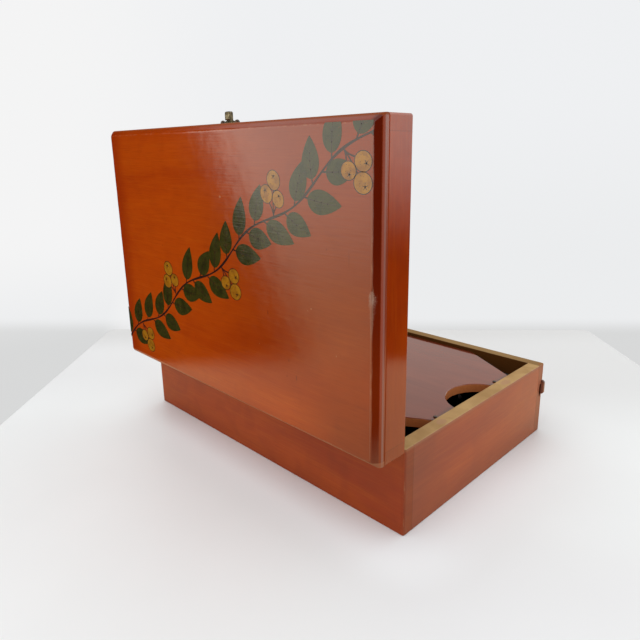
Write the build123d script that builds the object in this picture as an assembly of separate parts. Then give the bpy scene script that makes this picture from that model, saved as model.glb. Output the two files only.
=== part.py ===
from build123d import *

import os
from math import radians, tan

os.makedirs("parts", exist_ok=True)

# Frame: millimetres, +Z up, origin at the centre of the underside of the base.
# +X runs along the box, -Y is the front with the clasp and +Y the back with the hinges.
# The lid is drawn shut, then swung open about the hinge pins, which is how the box rests.

# Base
box_length = 260.0
box_depth = 172.2
base_height = 54.4
side_wall = 8.0
end_wall = 8.6
bottom_board = 5.0
bottom_rabbet = 4.0
corner_round = 1.4
edge_round = 0.7

# Lid
lid_frame_height = 17.6
lid_board = 7.0
lid_bevel_width = 3.6
lid_bevel_depth = 4.0
lid_overhang = 2.8
seam_gap = 0.1
open_angle = 90.0

# Butt hinges, let into the two rims
hinge_inset = 55.0
hinge_length = 38.0
hinge_standoff = 0.35
leaf_width = 7.2
leaf_thickness = 1.2
knuckle_radius = 2.1
knuckle_count = 5
knuckle_gap = 0.2
knuckle_relief = 0.35
hinge_pin_radius = 1.0
pin_clearance = 0.05
hinge_screw_reach = 4.5
hinge_screw_pitch = 12.5
hinge_screw_length = 7.0
hinge_screw_shank = 0.8
hinge_screw_head = 1.7
hinge_screw_sink = 1.0
screw_clearance = 0.04

# Clasp on the lid's front, and its catch on the base's front
clasp_x = 6.5
clasp_rise = 3.1
clasp_axis_out = 1.3
clasp_plate_length = 19.0
clasp_plate_height = 6.0
clasp_plate_thickness = 0.7
clasp_window_height = 2.7
clasp_pin_radius = 0.5
clasp_screw_offset = 7.35
arm_width = 5.3
arm_thickness = 1.1
arm_length = 6.6
arm_neck = 1.4
arm_skin = 0.4
arm_edge_round = 0.7
arm_knuckle_radius = 1.0
arm_side_gap = 0.2
arm_tip_round = 1.3
ear_thickness = 0.9
ear_radius = 1.15
socket_width = 2.5
socket_length = 2.4
socket_end_bar = 0.95
socket_gap = 0.1
catch_plate_length = 13.6
catch_plate_height = 5.8
catch_plate_drop = 0.5
catch_screw_offset = 4.6
stud_ball_radius = 0.9
stud_neck_radius = 0.55
stud_reach = 2.0
plate_corner = 1.4
round_head_radius = 1.6
round_head_rim = 0.6
catch_head_radius = 1.1
catch_head_rim = 0.3
round_screw_shank = 0.6
round_screw_length = 6.0

# Finger tab let into the end grain of the front board
tab_centre_z = 36.0
tab_height = 10.6
tab_thickness = 1.9
tab_reach = 2.2
tab_root = 4.0
tab_round = 1.9
tab_inset = 2.7
tab_slot_width = 2.0
tab_slot_height = 9.6
tab_slot_drop = 2.2
tab_slot_depth = 3.0

# Liners at the two ends, which carry the tray and the cover board
liner_thickness = 3.0
liner_step = 3.5
rest_gap = 0.2

# Cover board
board_thickness = 6.0
board_below_rim = 2.35
board_end_gap = 0.5
board_side_gap = 0.6
board_edge_bevel = 0.35
corner_cut_angle = 30.0
front_cut_depth = 27.4
rear_cut_depth = 35.6
notch_radius = 24.5
notch_outside = 4.9
notch_y = -4.0
board_pin_ys = (-34.0, 39.0)
board_pin_inset = 3.4
board_pin_radius = 0.6
board_pin_length = 4.0
board_pin_head_radius = 1.15
board_pin_head_height = 0.7

# Japanned tin tray
tray_height = 20.0
tray_below_board = 3.85
tray_gap = 0.5
tray_sheet = 0.8
tray_bead_radius = 1.1
tray_corner = 5.0
divider_height = 12.0
brush_trough_width = 25.0
pan_length = 30.0
pan_width = 19.0
pan_height = 9.0
pan_wall = 1.1
pan_corner = 1.5
pan_spacing = 1.2
pan_end_gap = 1.6
pan_rows = 2
pan_columns = 6
paint_gap = 0.05
paint_below_rim = 1.6
paint_hollow_radius = 16.0
paint_hollow_depths = (1.0, 1.7, 0.5, 1.4, 0.8, 1.2)

# Loose things kept in the tray
dish_height = 9.0
dish_wall = 2.4
dish_flare = 14.0
dish_foot_height = 1.4
dish_gap = 2.8
cup_gap = 5.6
cup_height = 14.0
cup_wall = 0.8
cup_bead_radius = 0.9
brush_end_gap = 12.4
brush_gap = 1.2

# Each brush: name, length as a share of the longest, greatest handle radius, tuft length
brushes = [
    ("brush_large", 1.0, 3.2, 24.0),
    ("brush_medium", 0.933, 2.8, 20.0),
    ("brush_small", 0.875, 2.4, 16.0),
]
ferrule_length = 26.0

# Brush outlines: distance as a share of the piece's length, radius as a share of the handle's
handle_outline = [(0.0, 0.4), (0.3, 0.62), (0.85, 1.0), (1.0, 0.82)]
ferrule_outline = [(0.0, 0.82), (0.5, 0.78), (1.0, 0.7)]
tuft_outline = [(0.0, 0.7), (0.35, 0.8), (0.8, 0.35), (1.0, 0.08)]

# The colour in each pan, front row first, from the left end
paints = [
    "paint_lemon_yellow", "paint_gamboge", "paint_vermilion", "paint_crimson_lake", "paint_ultramarine",
    "paint_prussian_blue", "paint_chinese_white", "paint_yellow_ochre", "paint_light_red",
    "paint_burnt_sienna", "paint_sap_green", "paint_sepia",
]

# Places that follow from the sizes above
half_length = box_length / 2
half_depth = box_depth / 2
cavity_x = half_length - end_wall
cavity_y = half_depth - side_wall
rim_z = base_height + seam_gap
lid_top_z = rim_z + lid_frame_height + lid_board
lid_back = half_depth + lid_overhang
hinge_y = half_depth + hinge_standoff
hinge_z = base_height + seam_gap / 2
hinge_x = half_length - hinge_inset
hinge_axis = Axis((0, hinge_y, hinge_z), (1, 0, 0))
clasp_y = -half_depth - clasp_axis_out
clasp_z = rim_z + clasp_rise
stud_z = clasp_z - arm_length + socket_end_bar + socket_length / 2
tray_x = cavity_x - liner_thickness - tray_gap
tray_y = cavity_y - tray_gap
tray_wall_inset = tray_bead_radius - tray_sheet / 2
bay_x = tray_x - tray_wall_inset - tray_sheet
bay_y = tray_y - tray_wall_inset - tray_sheet
board_top = base_height - board_below_rim
board_under = board_top - board_thickness
tray_top = board_under - tray_below_board
tray_z = tray_top - tray_height
tray_seat = tray_z - rest_gap
tray_floor = tray_z + tray_sheet
board_x = cavity_x - board_end_gap
board_y = cavity_y - board_side_gap


def block(low, high):
    """A block between two opposite corners."""
    size = [b - a for a, b in zip(low, high)]
    centre = [(a + b) / 2 for a, b in zip(low, high)]
    return Pos(*centre) * Box(*size)


def rod_x(start, end, y, z, radius):
    """A round rod along X."""
    return Pos((start + end) / 2, y, z) * Rot(0, 90, 0) * Cylinder(radius, end - start)


def rod_y(x, start, end, z, radius):
    """A round rod along Y."""
    return Pos(x, (start + end) / 2, z) * Rot(90, 0, 0) * Cylinder(radius, abs(end - start))


def lathe_x(points, start, y, z):
    """A turned piece along X from (distance, radius) points, its outline a smooth curve."""
    first = points[0]
    last = points[-1]
    side = Spline(*points)
    ends = Polyline(last, (last[0], 0), (first[0], 0), first)
    return Pos(start, y, z) * revolve(make_face(side + ends), axis=Axis.X)


def opened(piece):
    """A piece of the lid, drawn shut, where it is with the lid open."""
    return piece.rotate(hinge_axis, -open_angle)


def to_lid(piece):
    """A piece of the base's half of a hinge, mirrored in the seam to the lid's half."""
    return mirror(piece, about=Plane.XY.offset(hinge_z))


def save(name, *solids):
    """Write a piece, or a group of like pieces, under its node's name."""
    shape = solids[0] if len(solids) == 1 else Compound(children=list(solids))
    export_step(shape, f"parts/{name}.step")


# Base: four boards, front and back the full length with their end grain showing, and a let-in bottom
def base_outside():
    """The outside of the base, with its worn corners and edges."""
    outside = block((-half_length, -half_depth, 0), (half_length, half_depth, base_height))
    outside = fillet(outside.edges().filter_by(Axis.Z), corner_round)
    levels = outside.edges().group_by(Axis.Z)
    return fillet(levels[0] + levels[-1], edge_round)


def bottom_seat(low_z):
    """The bottom board's outline, from a height up to the board's top."""
    x = cavity_x + bottom_rabbet
    y = cavity_y + bottom_rabbet
    return block((-x, -y, low_z), (x, y, bottom_board))


def countersunk_screw(x, y, grow=0.0):
    """A hinge screw driven down into the back board, or its hole if it is grown."""
    sink = hinge_screw_sink
    shank = hinge_screw_shank + grow
    head = Pos(x, y, base_height - sink / 2) * Cone(shank, hinge_screw_head + grow, sink)
    body = Pos(x, y, base_height - hinge_screw_length / 2) * Cylinder(shank, hinge_screw_length + 2 * grow)
    return head + body


def hinge_screws(grow=0.0):
    """The six screws that hold the two base leaves."""
    screws = []
    for side in (-1, 1):
        for step in (-1, 0, 1):
            x = side * hinge_x + step * hinge_screw_pitch
            screws.append(countersunk_screw(x, hinge_y - hinge_screw_reach, grow))
    return screws


def hinge_mortises():
    """What is cut out of the back board for the leaves, knuckles and screws."""
    cut = Part()
    for side in (-1, 1):
        start = side * hinge_x - hinge_length / 2
        end = start + hinge_length
        low = (start, hinge_y - leaf_width, base_height - leaf_thickness)
        cut += block(low, (end, hinge_y, rim_z))
        cut += rod_x(start - knuckle_relief, end + knuckle_relief, hinge_y, hinge_z,
                     knuckle_radius + knuckle_relief)
    for hole in hinge_screws(screw_clearance):
        cut += hole
    return cut


def hinge_leaf(side, own_knuckles):
    """One leaf of a butt hinge, flush with the base's rim, with its own knuckles of the five."""
    start = side * hinge_x - hinge_length / 2
    end = start + hinge_length
    knuckle = hinge_length / knuckle_count
    low = (start, hinge_y - leaf_width, base_height - leaf_thickness)
    leaf = block(low, (end, hinge_y, base_height))
    for n in range(knuckle_count):
        a = start + n * knuckle
        b = a + knuckle
        if n in own_knuckles:
            leaf += rod_x(a + knuckle_gap / 2, b - knuckle_gap / 2, hinge_y, hinge_z, knuckle_radius)
        else:
            leaf -= rod_x(a, b, hinge_y, hinge_z, knuckle_radius + knuckle_relief)
    leaf -= rod_x(start, end, hinge_y, hinge_z, hinge_pin_radius + pin_clearance)
    for hole in hinge_screws(screw_clearance):
        leaf -= hole
    return leaf


def round_head_screw(x, z, face, head_radius, head_rim):
    """A round-headed screw driven back into a board, with its head on a plate's face."""
    rim = rod_y(x, face - head_rim, face, z, head_radius)
    dome = Pos(x, face - head_rim, z) * Sphere(head_radius)
    room = 2 * head_radius
    dome &= block((x - room, face - room - head_rim, z - room), (x + room, face - head_rim / 2, z + room))
    return rim + dome + rod_y(x, face, face + round_screw_length, z, round_screw_shank)


def screw_holes_y(xs, z, face):
    """Straight holes for round-headed screws, through a plate and into the board behind."""
    holes = Part()
    for x in xs:
        end = face + round_screw_length + screw_clearance
        holes += rod_y(x, face, end, z, round_screw_shank + screw_clearance)
    return holes


base_round = base_outside()
plate_face = -half_depth - clasp_plate_thickness
catch_z = base_height - catch_plate_drop - catch_plate_height / 2
catch_screw_xs = (clasp_x - catch_screw_offset, clasp_x + catch_screw_offset)
catch_holes = screw_holes_y(catch_screw_xs, catch_z, plate_face)

tab_face = -half_depth + tab_inset
tab_low = tab_centre_z - tab_height / 2
tab_high = tab_centre_z + tab_height / 2
tab_back = tab_face - tab_thickness
tab_end = -half_length + tab_root
tab_mortise = block((-half_length, tab_back, tab_low), (tab_end, tab_face, tab_high))
slot_centre_z = tab_centre_z - tab_slot_drop
tab_slot = block(
    (-half_length, tab_face, slot_centre_z - tab_slot_height / 2),
    (-half_length + tab_slot_depth, tab_face + tab_slot_width, slot_centre_z + tab_slot_height / 2),
)
side_tab = block((-half_length - tab_reach, tab_back, tab_low), (tab_end, tab_face, tab_high))
side_tab = fillet(side_tab.edges().filter_by(Axis.Y).group_by(Axis.X)[0], tab_round)
save("side_tab", side_tab)

base_front = block((-half_length, -half_depth, 0), (half_length, -cavity_y, base_height)) & base_round
save("base_front", base_front - bottom_seat(-1) - tab_mortise - tab_slot - catch_holes)

base_back = block((-half_length, cavity_y, 0), (half_length, half_depth, base_height)) & base_round
save("base_back", base_back - bottom_seat(-1) - hinge_mortises())

for side, name in ((-1, "base_left_end"), (1, "base_right_end")):
    inner, outer = sorted((side * cavity_x, side * half_length))
    end_board = block((inner, -cavity_y, 0), (outer, cavity_y, base_height)) & base_round
    save(name, end_board - bottom_seat(-1))

save("base_bottom", bottom_seat(0))

# Liners, glued inside the ends: the upper part carries the cover board and the step the tray
for side, name in ((-1, "left_liner"), (1, "right_liner")):
    near = side * (cavity_x - liner_thickness)
    step = side * (cavity_x - liner_thickness - liner_step)
    wall = side * cavity_x
    upright_top = board_under - rest_gap
    upright = block((min(near, wall), -cavity_y, bottom_board), (max(near, wall), cavity_y, upright_top))
    ledge = block((min(step, near), -cavity_y, bottom_board), (max(step, near), cavity_y, tray_seat))
    save(name, upright + ledge)

# Hinges: two brass butts with a pin each, and countersunk screws
for side, name in ((-1, "left"), (1, "right")):
    save(f"base_hinge_leaf_{name}", hinge_leaf(side, (0, 2, 4)))
    save(f"lid_hinge_leaf_{name}", opened(to_lid(hinge_leaf(side, (1, 3)))))
hinge_pins = []
for side in (-1, 1):
    start = side * hinge_x - hinge_length / 2
    hinge_pins.append(rod_x(start, start + hinge_length, hinge_y, hinge_z, hinge_pin_radius))
save("hinge_pins", *hinge_pins)
save("base_hinge_screws", *hinge_screws())
save("lid_hinge_screws", *[opened(to_lid(screw)) for screw in hinge_screws()])


# Catch on the base's front: a small plate with a ball stud
def small_plate(centre_x, centre_z, length, height):
    """A thin brass plate with rounded corners on the front of the box."""
    low = (centre_x - length / 2, plate_face, centre_z - height / 2)
    plate = block(low, (centre_x + length / 2, -half_depth, centre_z + height / 2))
    return fillet(plate.edges().filter_by(Axis.Y), plate_corner)


stud = rod_y(clasp_x, -half_depth - stud_reach, plate_face, stud_z, stud_neck_radius)
stud += Pos(clasp_x, -half_depth - stud_reach, stud_z) * Sphere(stud_ball_radius)
catch_plate = small_plate(clasp_x, catch_z, catch_plate_length, catch_plate_height) + stud - catch_holes
save("catch_plate", catch_plate)
save("catch_screws", *[round_head_screw(x, catch_z, plate_face, catch_head_radius, catch_head_rim)
                       for x in catch_screw_xs])


# Lid: a shallow frame jointed like the base, with a bevelled board on top
def lid_outside():
    """The outside of the shut lid: bevelled face, worn corners and rim."""
    low = (-half_length, -half_depth, rim_z)
    high = (half_length, lid_back, lid_top_z)
    bevelled = block(low, high)
    face = bevelled.faces().sort_by(Axis.Z)[-1]
    bevelled = chamfer(face.edges(), lid_bevel_width, lid_bevel_depth, reference=face)
    worn = block(low, high)
    worn = fillet(worn.edges().filter_by(Axis.Z), corner_round)
    worn = fillet(worn.edges().group_by(Axis.Z)[0], edge_round)
    return bevelled & worn


lid_round = lid_outside()
frame_top = rim_z + lid_frame_height
lid_inner_back = lid_back - side_wall
clasp_screw_xs = (clasp_x - clasp_screw_offset, clasp_x + clasp_screw_offset)
clasp_holes = screw_holes_y(clasp_screw_xs, clasp_z, plate_face)

lid_front = block((-half_length, -half_depth, rim_z), (half_length, -cavity_y, frame_top)) & lid_round
save("lid_front", opened(lid_front - clasp_holes))
lid_rear = block((-half_length, lid_inner_back, rim_z), (half_length, lid_back, frame_top)) & lid_round
save("lid_back", opened(lid_rear - to_lid(hinge_mortises())))
for side, name in ((-1, "lid_left_end"), (1, "lid_right_end")):
    inner, outer = sorted((side * cavity_x, side * half_length))
    end_board = block((inner, -cavity_y, rim_z), (outer, lid_inner_back, frame_top)) & lid_round
    save(name, opened(end_board))
lid_face = block((-half_length, -half_depth, frame_top), (half_length, lid_back, lid_top_z)) & lid_round
save("lid_top", opened(lid_face))

# Clasp: a plate with two ears on the lid's front, and an arm on a pin between them.
# The arm is thick at its end, with a socket inside for the ball stud. Shut, it hangs over the stud;
# at rest, with the lid open, it stands straight out.
ear_start = arm_width / 2 + arm_side_gap
ear_end = ear_start + ear_thickness
clasp_plate = small_plate(clasp_x, clasp_z, clasp_plate_length, clasp_plate_height)
clasp_plate -= block(
    (clasp_x - ear_start, plate_face, clasp_z - clasp_window_height / 2),
    (clasp_x + ear_start, -half_depth, clasp_z + clasp_window_height / 2),
)
for side in (-1, 1):
    a, b = sorted((clasp_x + side * ear_start, clasp_x + side * ear_end))
    clasp_plate += rod_x(a, b, clasp_y, clasp_z, ear_radius)
    clasp_plate += block((a, clasp_y, clasp_z - ear_radius), (b, -half_depth, clasp_z + ear_radius))
clasp_plate -= rod_x(clasp_x - ear_end, clasp_x + ear_end, clasp_y, clasp_z, clasp_pin_radius)
save("clasp_plate", opened(clasp_plate - clasp_holes))
save("clasp_pin", opened(rod_x(clasp_x - ear_end, clasp_x + ear_end, clasp_y, clasp_z, clasp_pin_radius)))
save("clasp_screws", *[opened(round_head_screw(x, clasp_z, plate_face, round_head_radius, round_head_rim))
                       for x in clasp_screw_xs])

arm_left = clasp_x - arm_width / 2
arm_right = clasp_x + arm_width / 2
arm_tip = clasp_y - arm_length
arm_inside = clasp_z - arm_thickness / 2
socket_roof = clasp_z + stud_reach + stud_ball_radius - clasp_axis_out + socket_gap
arm_outside = socket_roof + arm_skin
clasp_arm = block((arm_left, arm_tip, arm_inside), (arm_right, clasp_y - arm_neck, arm_outside))
clasp_arm = fillet(clasp_arm.edges().filter_by(Axis.Z).group_by(Axis.Y)[0], arm_tip_round)
clasp_arm = fillet(clasp_arm.faces().sort_by(Axis.Z)[-1].edges(), arm_edge_round)
neck_start = clasp_y - arm_neck - arm_thickness
clasp_arm += block((arm_left, neck_start, arm_inside), (arm_right, clasp_y, clasp_z + arm_thickness / 2))
clasp_arm += rod_x(arm_left, arm_right, clasp_y, clasp_z, arm_knuckle_radius)
clasp_arm -= block(
    (clasp_x - socket_width / 2, arm_tip + socket_end_bar, arm_inside),
    (clasp_x + socket_width / 2, arm_tip + socket_end_bar + socket_length, socket_roof),
)
clasp_arm -= rod_x(arm_left, arm_right, clasp_y, clasp_z, clasp_pin_radius + pin_clearance)
save("clasp_arm", opened(clasp_arm))


# Cover board: its corners cut off, a finger notch at each end, small pins beside the notches
def cover_board():
    """The board over the tray, symmetrical about the middle of the box."""
    front_cut = front_cut_depth / tan(radians(corner_cut_angle))
    rear_cut = rear_cut_depth / tan(radians(corner_cut_angle))
    right = [
        (board_x - front_cut, -board_y),
        (board_x, -board_y + front_cut_depth),
        (board_x, board_y - rear_cut_depth),
        (board_x - rear_cut, board_y),
    ]
    left = [(-x, y) for x, y in reversed(right)]
    outline = make_face(Polyline(*right, *left, close=True))
    for side in (-1, 1):
        outline -= Pos(side * (cavity_x + notch_outside), notch_y) * Circle(notch_radius)
    board = Pos(0, 0, board_under) * extrude(outline, board_thickness)
    return chamfer(board.edges().group_by(Axis.Z)[-1], board_edge_bevel)


board_pin_places = [(side * (board_x - board_pin_inset), y) for side in (-1, 1) for y in board_pin_ys]
board = cover_board()
board_pins = []
for x, y in board_pin_places:
    shank = Pos(x, y, board_top - board_pin_length / 2) * Cylinder(board_pin_radius, board_pin_length)
    head = Cylinder(board_pin_head_radius, board_pin_head_height)
    head = fillet(head.edges().group_by(Axis.Z)[-1], board_pin_head_height / 2)
    head = Pos(x, y, board_top + board_pin_head_height / 2) * head
    board -= shank
    board_pins.append(shank + head)
save("cover_board", board)
save("board_pins", *board_pins)


# Tray: a japanned tin tray with a wired rim, soldered dividers, pans and their paints
def rounded_box(inset, low, high):
    """A block with rounded upright corners, inset from the tray's outside."""
    outline = RectangleRounded(2 * (tray_x - inset), 2 * (tray_y - inset), tray_corner - inset)
    return Pos(0, 0, low) * extrude(outline, high - low)


bead_z = tray_top - tray_bead_radius
tray = rounded_box(tray_wall_inset, tray_z, bead_z)
tray -= rounded_box(tray_wall_inset + tray_sheet, tray_floor, bead_z)
bead_outline = RectangleRounded(2 * (tray_x - tray_bead_radius), 2 * (tray_y - tray_bead_radius),
                                tray_corner - tray_bead_radius)
bead_path = (Pos(0, 0, bead_z) * bead_outline).wire()
tray += sweep((bead_path ^ 0) * Circle(tray_bead_radius), path=bead_path)
save("tray", tray)

divider_top = tray_floor + divider_height
trough_wall_y = -bay_y + brush_trough_width
pan_row_length = pan_columns * pan_width + (pan_columns - 1) * pan_spacing
middle_x = pan_row_length / 2 + pan_end_gap
pans_front = trough_wall_y + tray_sheet + pan_spacing
pans_depth = pan_rows * pan_length + (pan_rows - 1) * pan_spacing
rail_y = pans_front + pans_depth + pan_spacing
dividers = [
    block((-bay_x, trough_wall_y, tray_floor), (bay_x, trough_wall_y + tray_sheet, divider_top)),
    block((-middle_x, rail_y, tray_floor), (middle_x, rail_y + tray_sheet, divider_top)),
]
for side in (-1, 1):
    a, b = sorted((side * middle_x, side * (middle_x + tray_sheet)))
    dividers.append(block((a, trough_wall_y + tray_sheet, tray_floor), (b, bay_y, divider_top)))
save("tray_dividers", *dividers)


def pan_places():
    """The middle of each pan, front row first, from the left end."""
    for row in range(pan_rows):
        y = pans_front + pan_length / 2 + row * (pan_length + pan_spacing)
        for column in range(pan_columns):
            yield (column * (pan_width + pan_spacing) + (pan_width - pan_row_length) / 2, y)


def pan(x, y):
    """A glazed pan, open at the top."""
    body = Pos(x, y, tray_floor + pan_height / 2) * Box(pan_width, pan_length, pan_height)
    body = fillet(body.edges().filter_by(Axis.Z), pan_corner)
    inner = (pan_width - 2 * pan_wall, pan_length - 2 * pan_wall, pan_height - pan_wall)
    return body - Pos(x, y, tray_floor + pan_wall + inner[2] / 2) * Box(*inner)


def paint_cake(x, y, hollow_depth):
    """A cake of paint in its pan, worn hollow by the brush."""
    width = pan_width - 2 * (pan_wall + paint_gap)
    length = pan_length - 2 * (pan_wall + paint_gap)
    low = tray_floor + pan_wall
    high = tray_floor + pan_height - paint_below_rim
    cake = Pos(x, y, (low + high) / 2) * Box(width, length, high - low)
    hollow = high - hollow_depth + paint_hollow_radius
    return cake - rod_y(x, y - length / 2, y + length / 2, hollow, paint_hollow_radius)


save("paint_pans", *[pan(x, y) for x, y in pan_places()])
for n, ((x, y), name) in enumerate(zip(pan_places(), paints)):
    save(name, paint_cake(x, y, paint_hollow_depths[n % len(paint_hollow_depths)]))


# Two porcelain mixing dishes and a tin water cup, loose in their bays
dish_bay = bay_y - rail_y - tray_sheet
dish_y = bay_y - dish_bay / 2
dish_radius = min(dish_bay, middle_x) / 2 - dish_gap
dish_foot_radius = dish_radius - dish_flare


def mixing_dish(x, y):
    """A round saucer with a foot ring."""
    inner_foot = dish_foot_radius - dish_wall
    inner_rim = dish_radius - dish_wall
    inner_floor = dish_foot_height + dish_wall
    lip = dish_wall / 2
    outline = Polyline((0, inner_floor), (0, dish_foot_height), (inner_foot, dish_foot_height),
                       (inner_foot, 0), (dish_foot_radius, 0), (dish_radius, dish_height - lip))
    outline += ThreePointArc((dish_radius, dish_height - lip), (dish_radius - lip, dish_height),
                             (inner_rim, dish_height - lip))
    outline += Polyline((inner_rim, dish_height - lip), (dish_foot_radius, inner_floor), (0, inner_floor))
    outline = make_face(outline)
    return Pos(x, y, tray_floor + rest_gap) * revolve(Plane.XZ * outline, axis=Axis.Z)


save("mixing_dish_left", mixing_dish(-middle_x / 2, dish_y))
save("mixing_dish_right", mixing_dish(middle_x / 2, dish_y))

cup_x = (middle_x + tray_sheet + bay_x) / 2
cup_radius = bay_x - cup_x - cup_gap
cup_z = tray_floor + rest_gap
cup = Pos(cup_x, dish_y, cup_z + cup_height / 2) * Cylinder(cup_radius, cup_height)
cup -= Pos(cup_x, dish_y, cup_z + cup_wall + cup_height / 2) * Cylinder(cup_radius - cup_wall, cup_height)
cup += Pos(cup_x, dish_y, cup_z + cup_height) * Torus(cup_radius - cup_wall / 2, cup_bead_radius)
save("water_cup", cup)

# Brushes, side by side in the trough: a turned handle, a metal ferrule and a pointed tuft
longest_brush = 2 * (bay_x - brush_end_gap)


def brush_piece(outline, start, length, radius, y, z):
    """One turned piece of a brush, from its outline in shares of its length and of the handle's radius."""
    return lathe_x([(share * length, width * radius) for share, width in outline], start, y, z)


place_y = -bay_y + brush_gap
for name, share, radius, tuft_length in brushes:
    handle_length = share * longest_brush - ferrule_length - tuft_length
    handle_start = -bay_x + brush_end_gap
    ferrule_start = handle_start + handle_length
    tuft_start = ferrule_start + ferrule_length
    y = place_y + radius
    z = tray_floor + rest_gap + radius
    save(f"{name}_handle", brush_piece(handle_outline, handle_start, handle_length, radius, y, z))
    save(f"{name}_ferrule", brush_piece(ferrule_outline, ferrule_start, ferrule_length, radius, y, z))
    save(f"{name}_tuft", brush_piece(tuft_outline, tuft_start, tuft_length, radius, y, z))
    place_y += 2 * radius + brush_gap
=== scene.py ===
import math

import bpy
import numpy as np
from mathutils import Matrix, Vector


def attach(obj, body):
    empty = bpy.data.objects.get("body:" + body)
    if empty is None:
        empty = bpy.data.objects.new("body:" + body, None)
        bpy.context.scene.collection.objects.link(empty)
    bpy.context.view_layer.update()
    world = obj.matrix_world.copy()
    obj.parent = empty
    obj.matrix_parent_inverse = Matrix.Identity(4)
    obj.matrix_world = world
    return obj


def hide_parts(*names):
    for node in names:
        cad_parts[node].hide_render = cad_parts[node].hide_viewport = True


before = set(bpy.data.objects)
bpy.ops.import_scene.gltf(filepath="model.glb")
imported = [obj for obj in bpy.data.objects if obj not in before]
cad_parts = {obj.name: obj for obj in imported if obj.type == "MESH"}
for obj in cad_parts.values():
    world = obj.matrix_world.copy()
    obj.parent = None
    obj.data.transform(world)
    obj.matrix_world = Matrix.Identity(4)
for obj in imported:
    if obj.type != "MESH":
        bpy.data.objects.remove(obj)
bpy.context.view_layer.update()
MM = 0.001

# Viewpoint
# The box is seen from behind and to the left, a little from above, with the lens close to the box.
# The picture is level but for a turn of about one degree.
view_azimuth = math.radians(225.05)
view_height = math.radians(14.64)
view_turn = math.radians(-0.89)
view_distance = 451.49
view_target = np.array([18.72, 0.0, 97.56])
view_lens = 31.575
view_shift = (-0.0015, -0.0382)

toward_eye = np.array([
    math.sin(view_azimuth) * math.cos(view_height),
    -math.cos(view_azimuth) * math.cos(view_height),
    math.sin(view_height),
])
eye = view_target + view_distance * toward_eye
level_right = np.cross(-toward_eye, [0.0, 0.0, 1.0])
level_right /= np.linalg.norm(level_right)
level_up = np.cross(level_right, -toward_eye)
right = level_right * math.cos(view_turn) + level_up * math.sin(view_turn)
up = level_up * math.cos(view_turn) - level_right * math.sin(view_turn)

camera = bpy.data.objects.new("camera", bpy.data.cameras.new("camera"))
bpy.context.scene.collection.objects.link(camera)
camera.data.lens = view_lens
camera.data.sensor_width = 36.0
camera.data.shift_x, camera.data.shift_y = view_shift
camera.data.clip_start = 0.02
camera.data.clip_end = 20.0
camera.matrix_world = Matrix((
    (right[0], up[0], toward_eye[0], eye[0] * MM),
    (right[1], up[1], toward_eye[1], eye[1] * MM),
    (right[2], up[2], toward_eye[2], eye[2] * MM),
    (0.0, 0.0, 0.0, 1.0),
))
bpy.context.scene.camera = camera


# Base: four boards of a close-grained fruitwood, glued at the corners.
# The front and back boards run the full length and show their end grain on the ends.
# Outside, the wood has a thick orange-brown varnish, and the sawn rim is bare and dirty with use.
class Value:
    """A result of the shading nodes. Each sign of arithmetic on it adds a node."""

    def __init__(self, nodes, socket):
        self.nodes = nodes
        self.socket = socket

    def __add__(self, other):
        return self.nodes.math("ADD", self, other)

    def __sub__(self, other):
        return self.nodes.math("SUBTRACT", self, other)

    def __rsub__(self, other):
        return self.nodes.math("SUBTRACT", other, self)

    def __mul__(self, other):
        return self.nodes.math("MULTIPLY", self, other)

    def __truediv__(self, other):
        return self.nodes.math("DIVIDE", self, other)

    def __abs__(self):
        return self.nodes.math("ABSOLUTE", self)

    def step(self, start, end):
        """A smooth step from 0 at the start to 1 at the end, which may lie on either side of it."""
        node = self.nodes.add("MapRange")
        node.interpolation_type = "SMOOTHSTEP"
        self.nodes.feed(node.inputs["Value"], self)
        node.inputs["From Min"].default_value = min(start, end)
        node.inputs["From Max"].default_value = max(start, end)
        node.inputs["To Min"].default_value = float(start > end)
        node.inputs["To Max"].default_value = float(start < end)
        return Value(self.nodes, node.outputs[0])


class Nodes:
    """A tree of shading nodes, which take values, sockets, plain numbers and colours."""

    def __init__(self, tree):
        self.tree = tree
        self.tree.nodes.clear()

    def add(self, kind):
        return self.tree.nodes.new("ShaderNode" + kind)

    def feed(self, socket, value):
        """Link a socket to another, or set its value."""
        if isinstance(value, Value):
            value = value.socket
        if isinstance(value, bpy.types.NodeSocket):
            self.tree.links.new(value, socket)
        elif isinstance(value, tuple) and len(value) == 3 and socket.type == "RGBA":
            socket.default_value = (*value, 1.0)
        else:
            socket.default_value = value

    def math(self, operation, *values):
        node = self.add("Math")
        node.operation = operation
        for socket, value in zip(node.inputs, values):
            self.feed(socket, value)
        return Value(self, node.outputs[0])

    def smallest(self, *values):
        result = values[0]
        for value in values[1:]:
            result = self.math("MINIMUM", result, value)
        return result

    def largest(self, *values):
        result = values[0]
        for value in values[1:]:
            result = self.math("MAXIMUM", result, value)
        return result

    def mix(self, amount, a, b):
        """Colour a, turning into colour b as the amount goes from 0 to 1."""
        node = self.add("Mix")
        node.data_type = "RGBA"
        for n, value in ((0, amount), (6, a), (7, b)):
            self.feed(node.inputs[n], value)
        return Value(self, node.outputs[2])


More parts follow.
